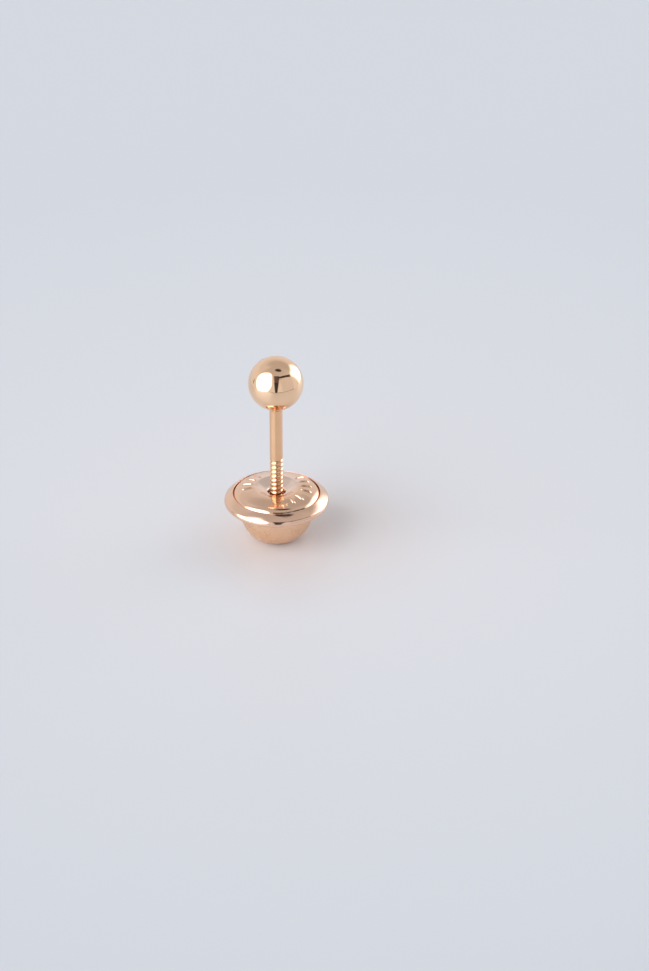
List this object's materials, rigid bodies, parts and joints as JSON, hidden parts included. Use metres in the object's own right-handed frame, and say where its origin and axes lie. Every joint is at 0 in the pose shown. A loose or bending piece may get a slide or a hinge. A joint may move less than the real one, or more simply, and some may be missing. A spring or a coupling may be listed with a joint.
{
  "type": "ball stud earring",
  "caption": "Ball stud earring: a polished ball on a threaded post, with a domed round screw back that it stands on.",
  "frame": {"origin": "middle of the flat foot that the back stands on", "axes": "+Z along the post, from the foot up to the ball; the pair of axes X and Y is square to it, and the camera of the picture looks along +Y"},
  "size_m": [0.0076, 0.0076, 0.0146],
  "materials": {
    "ball_post": "polished yellow-rose gold colour",
    "back_plate": "polished rose gold colour, slightly uneven pressing",
    "back_cup": "rose gold colour, polished rim and satin dome",
    "nut": "plain turned metal"
  },
  "bodies": {
    "back": {"back_cup": "back_cup", "back_plate": "back_plate"},
    "turning_nut": {"nut": "nut"},
    "stud": {"ball_post": "ball_post"}
  },
  "joints": [
    {"name": "post_turn", "type": "hinge", "parent": "back", "child": "turning_nut", "pos_m": [0, 0, 0], "axis": [0, 0, 1], "range_deg": [-1085, 1445]},
    {"name": "post_travel", "type": "slide", "parent": "turning_nut", "child": "stud", "axis": [0, 0, 1], "range_m": [-0.00105, 0.0014]}
  ],
  "couplings": [
    {"joint": "post_turn", "follows": "post_travel", "rad_per_m": 17952}
  ]
}
